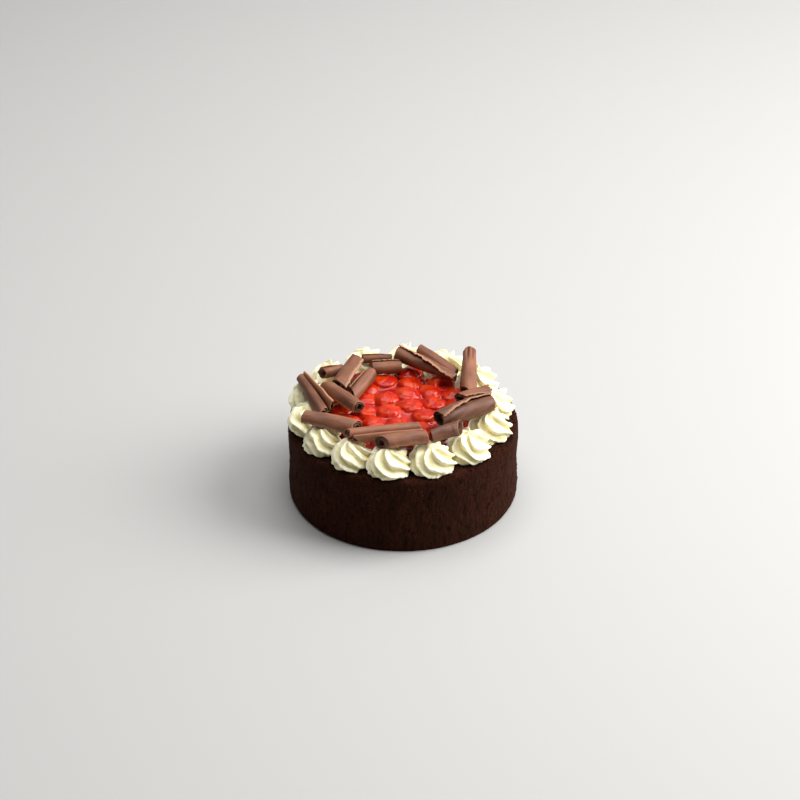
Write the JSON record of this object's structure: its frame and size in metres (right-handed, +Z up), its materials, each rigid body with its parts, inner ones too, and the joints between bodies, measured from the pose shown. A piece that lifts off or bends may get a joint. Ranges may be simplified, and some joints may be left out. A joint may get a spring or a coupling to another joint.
{
  "type": "black forest cake",
  "caption": "Round uncut chocolate sponge cake with a ring of piped cream rosettes, glossy cherries in gel and rolled chocolate curls on top.",
  "frame": {"origin": "centre of the cake's flat underside", "axes": "+Z up along the cake's axis, -Y towards the viewer, +X to the viewer's right"},
  "size_m": [0.1851, 0.1854, 0.1014],
  "materials": {
    "chocolate_sponge": "matt dark chocolate crumb",
    "cherry_gel": "glossy clear red gel",
    "cherry_skin": "wet glossy red skin",
    "whipped_cream": "smooth ivory cream",
    "milk_chocolate": "satin milk chocolate"
  },
  "bodies": {
    "root": {"sponge": "chocolate_sponge", "cherry_gel": "cherry_gel", "cherry_01": "cherry_skin", "cherry_02": "cherry_skin", "cherry_03": "cherry_skin", "cherry_04": "cherry_skin", "cherry_05": "cherry_skin", "cherry_06": "cherry_skin", "cherry_07": "cherry_skin", "cherry_08": "cherry_skin", "cherry_09": "cherry_skin", "cherry_10": "cherry_skin", "cherry_11": "cherry_skin", "cherry_12": "cherry_skin", "cherry_13": "cherry_skin", "cherry_14": "cherry_skin", "cherry_15": "cherry_skin", "cherry_16": "cherry_skin", "cherry_17": "cherry_skin", "cherry_18": "cherry_skin", "cherry_19": "cherry_skin", "cherry_20": "cherry_skin", "cherry_21": "cherry_skin", "cherry_22": "cherry_skin", "cherry_23": "cherry_skin", "cherry_24": "cherry_skin", "cherry_25": "cherry_skin", "rosette_01": "whipped_cream", "rosette_02": "whipped_cream", "rosette_03": "whipped_cream", "rosette_04": "whipped_cream", "rosette_05": "whipped_cream", "rosette_06": "whipped_cream", "rosette_07": "whipped_cream", "rosette_08": "whipped_cream", "rosette_09": "whipped_cream", "rosette_10": "whipped_cream", "rosette_11": "whipped_cream", "rosette_12": "whipped_cream", "rosette_13": "whipped_cream", "rosette_14": "whipped_cream", "curl_a": "milk_chocolate", "curl_b": "milk_chocolate", "curl_c": "milk_chocolate", "curl_d": "milk_chocolate", "curl_e": "milk_chocolate", "curl_f": "milk_chocolate", "curl_g": "milk_chocolate", "curl_h": "milk_chocolate", "curl_i": "milk_chocolate", "curl_j": "milk_chocolate", "curl_k": "milk_chocolate", "curl_l": "milk_chocolate", "curl_m": "milk_chocolate", "curl_n": "milk_chocolate", "curl_o": "milk_chocolate", "curl_p": "milk_chocolate"}
  },
  "joints": []
}
